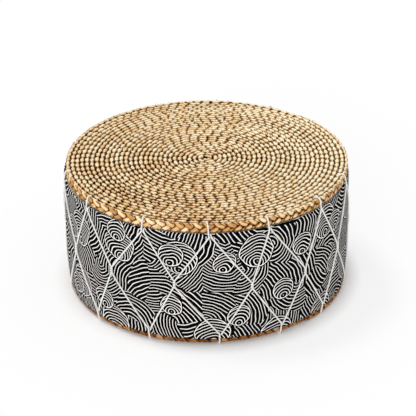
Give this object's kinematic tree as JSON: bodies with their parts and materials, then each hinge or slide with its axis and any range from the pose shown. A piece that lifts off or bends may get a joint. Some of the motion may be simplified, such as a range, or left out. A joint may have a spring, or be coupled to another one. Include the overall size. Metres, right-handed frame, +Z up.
{
  "type": "mudda stool",
  "caption": "Low drum-shaped floor stool: wound straw mats on seat and base, padded cloth wall, and white cords laced in a zigzag from mat to mat.",
  "frame": {"origin": "centre of the base, on the floor", "axes": "+Z up through the middle of the seat, -Y towards the front"},
  "size_m": [0.5126, 0.5061, 0.2341],
  "materials": {
    "seat_plait": "flat plait of dried leaf, cream to gold, slightly glossy on the leaf faces",
    "base_plait": "flat plait of dried leaf, brown",
    "cover_cloth": "black cotton cloth with a cream line print, matt",
    "lacing_cord": "white cotton cord, matt",
    "wadding": "felted cotton wadding",
    "coir_pad": "pressed coconut fibre",
    "deck_board": "plain sanded board",
    "cane": "natural cane, satin skin"
  },
  "bodies": {
    "root": {"seat_mat": "seat_plait", "seat_pad": "coir_pad", "seat_deck": "deck_board", "cane_post_1": "cane", "cane_post_2": "cane", "cane_post_3": "cane", "cane_post_4": "cane", "cane_post_5": "cane", "cane_post_6": "cane", "cane_post_7": "cane", "cane_post_8": "cane", "top_hoop": "cane", "middle_hoop": "cane", "bottom_hoop": "cane", "base_deck": "deck_board", "base_mat": "base_plait", "side_wadding": "wadding", "side_cover": "cover_cloth", "first_lacing_cord": "lacing_cord", "second_lacing_cord": "lacing_cord"}
  },
  "joints": []
}
